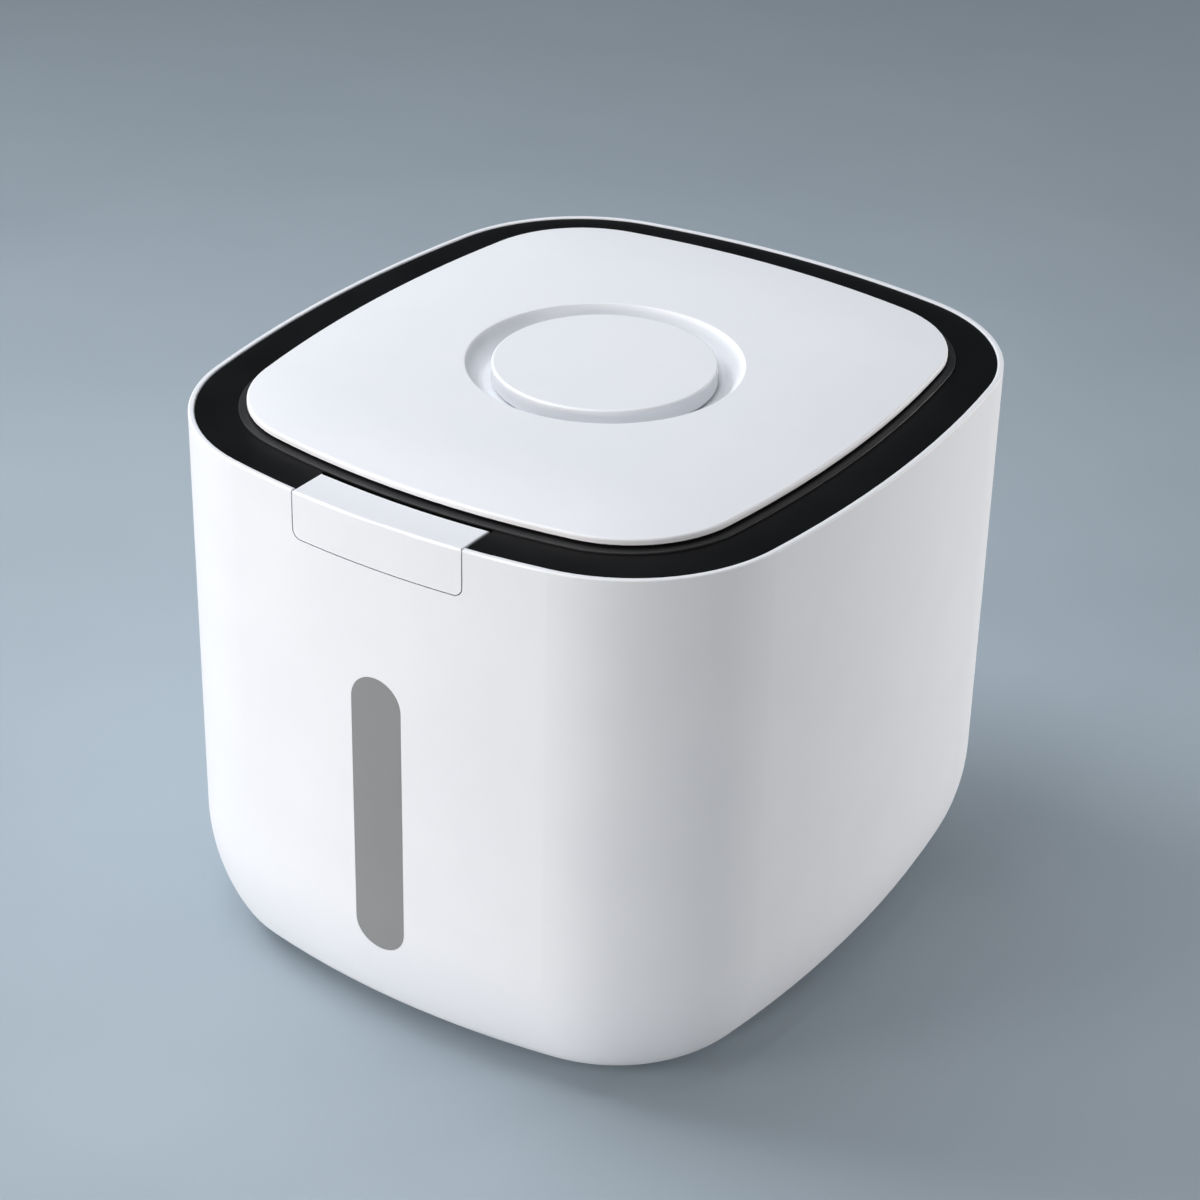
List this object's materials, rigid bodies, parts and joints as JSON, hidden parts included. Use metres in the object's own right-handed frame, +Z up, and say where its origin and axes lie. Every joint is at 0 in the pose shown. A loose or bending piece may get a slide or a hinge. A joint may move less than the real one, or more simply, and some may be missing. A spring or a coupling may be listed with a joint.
{
  "type": "rice storage box",
  "caption": "White bowed-sided rice storage box with a black mouth collar, flip-up padded lid, push latch, level window and a twist-cap capsule in the lid.",
  "frame": {"origin": "on the ground under the middle of the tub", "axes": "+Z up, the front with latch and window faces -Y, +X to the right seen from the front"},
  "size_m": [0.27, 0.298, 0.2342],
  "materials": {
    "white_shell": "satin moulded",
    "black_gloss": "gloss moulded",
    "grey_silicone": "matt silicone",
    "spring_steel": "bright",
    "foot_rubber": "matt rubber",
    "smoke_window": "smoke grey, satin",
    "frosted_basket": "frosted"
  },
  "bodies": {
    "tub": {"tub": "white_shell", "feet": "foot_rubber", "window_seal": "grey_silicone", "window_lens": "smoke_window", "collar_seal": "grey_silicone", "collar": "black_gloss", "hinge_pins": "spring_steel", "latch_spring": "spring_steel"},
    "latch": {"latch_button": "white_shell"},
    "lid": {"hinge_arm_left": "black_gloss", "hinge_arm_right": "black_gloss", "hinge_screws": "spring_steel", "lid_seal": "grey_silicone", "lid_pan": "black_gloss", "lid_cover": "white_shell", "lid_screws": "spring_steel", "catch_clip": "spring_steel", "clip_rivets": "spring_steel"},
    "capsule": {"capsule_basket": "frosted_basket", "capsule_seal": "grey_silicone"},
    "cap": {"capsule_cap": "white_shell"}
  },
  "joints": [
    {"name": "lid_flip", "type": "hinge", "parent": "tub", "child": "lid", "pos_m": [0, 0.138, 0.2205], "axis": [-1, 0, 0], "range_deg": [0, 95], "deforming": ["catch_clip"]},
    {"name": "latch_press", "type": "slide", "parent": "tub", "child": "latch", "axis": [0, 1, 0], "range_m": [0, 0.0015], "stiffness_N_per_m": 2000, "springref_m": -0.001, "deforming": ["latch_spring"]},
    {"name": "capsule_lift", "type": "slide", "parent": "lid", "child": "capsule", "axis": [0, 0, 1], "range_m": [0, 0.045]},
    {"name": "cap_turn", "type": "hinge", "parent": "capsule", "child": "cap", "pos_m": [0, 0, 0.23], "axis": [0, 0, 1], "range_deg": [0, 40]}
  ]
}
